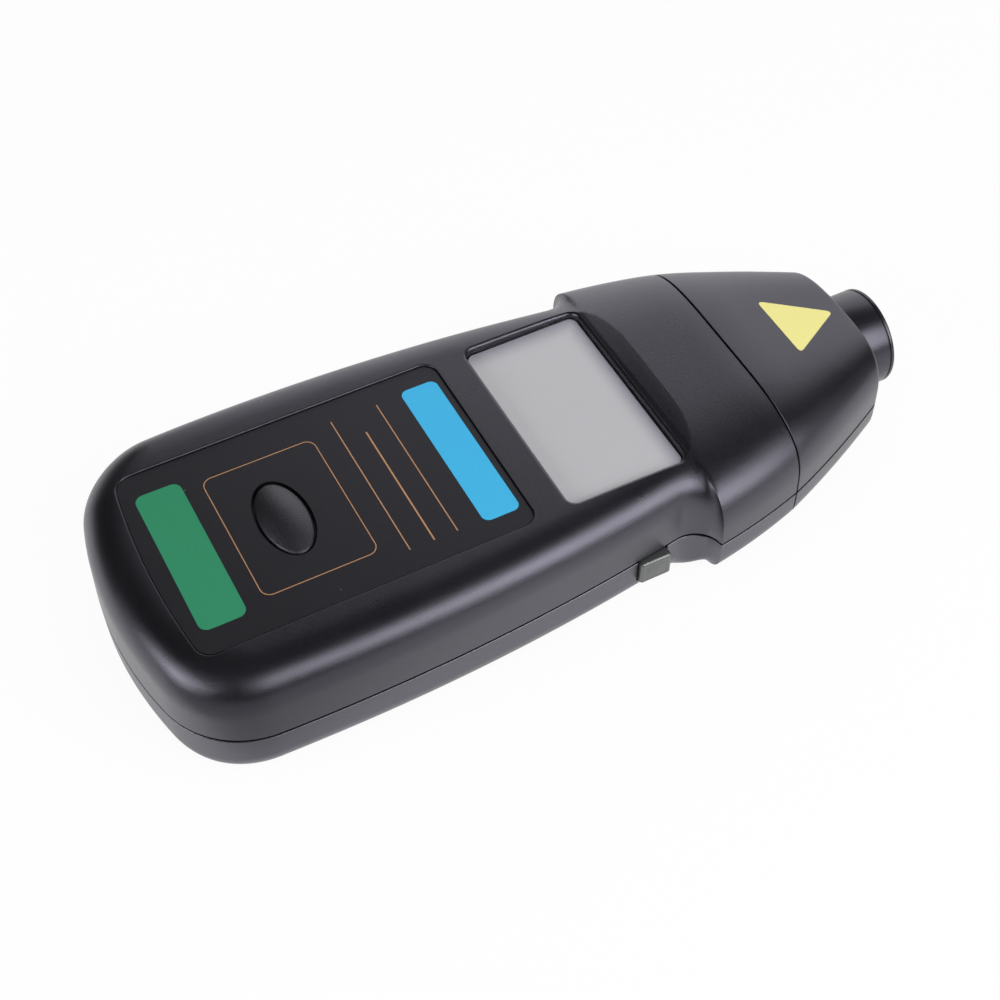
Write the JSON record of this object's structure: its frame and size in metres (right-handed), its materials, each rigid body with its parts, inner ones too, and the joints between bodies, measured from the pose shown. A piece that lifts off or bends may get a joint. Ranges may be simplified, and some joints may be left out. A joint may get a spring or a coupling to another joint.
{
  "type": "laser tachometer",
  "caption": "Hand-held non-contact speed meter with a moulded grip, a flared head, a tapering nose with a lens tube, a display window and press buttons.",
  "frame": {"origin": "on the plane that the rear face lies on, under the middle of the overall box", "axes": "+X along the optical axis towards the lens, +Z out of the face, -Y towards the side button"},
  "size_m": [0.185, 0.0754, 0.03],
  "materials": {
    "housing": "fine spark-eroded texture, charcoal black",
    "label": "satin printed sheet",
    "clear_pane": "clear polished",
    "display": "even grey",
    "contact_rubber": "soft",
    "circuit_board": "solder mask",
    "chip": "moulded",
    "bare_metal": "plated",
    "button": "satin",
    "side_button": "satin dark grey",
    "tube": "glossy black",
    "lens": "polished",
    "laser_brass": "turned",
    "ribbon": "flat ribbon cable",
    "battery_can": "plain jacket",
    "lead": "insulated wire"
  },
  "bodies": {
    "housing": {"front_case": "housing", "rear_case": "housing", "nose_upper": "housing", "nose_lower": "housing", "face_label": "label", "display_window": "clear_pane", "lcd_panel": "display", "lcd_contacts": "contact_rubber", "main_board": "circuit_board", "processor_chip": "chip", "crystal_can": "bare_metal", "memory_switch": "bare_metal", "test_switch": "bare_metal", "switch_board": "circuit_board", "lens_tube": "tube", "front_lens": "lens", "laser_module": "laser_brass", "sensor_board": "circuit_board", "photo_diode": "bare_metal", "sensor_ribbon": "ribbon", "battery": "battery_can", "battery_snap": "chip", "battery_leads": "lead", "case_screws": "bare_metal", "board_screws": "bare_metal"},
    "memory_key": {"memory_button": "button", "memory_plunger": "chip"},
    "test_key": {"test_button": "side_button", "test_plunger": "chip"},
    "battery_hatch": {"battery_door": "housing"}
  },
  "joints": [
    {"name": "memory_press", "type": "slide", "parent": "housing", "child": "memory_key", "axis": [0, 0, -1], "range_m": [0, 0.0008], "stiffness_N_per_m": 1500},
    {"name": "test_press", "type": "slide", "parent": "housing", "child": "test_key", "axis": [0, 1, 0], "range_m": [0, 0.001], "stiffness_N_per_m": 1500},
    {"name": "hatch_slide", "type": "slide", "parent": "housing", "child": "battery_hatch", "axis": [-1, 0, 0], "range_m": [0, 0.062]}
  ]
}
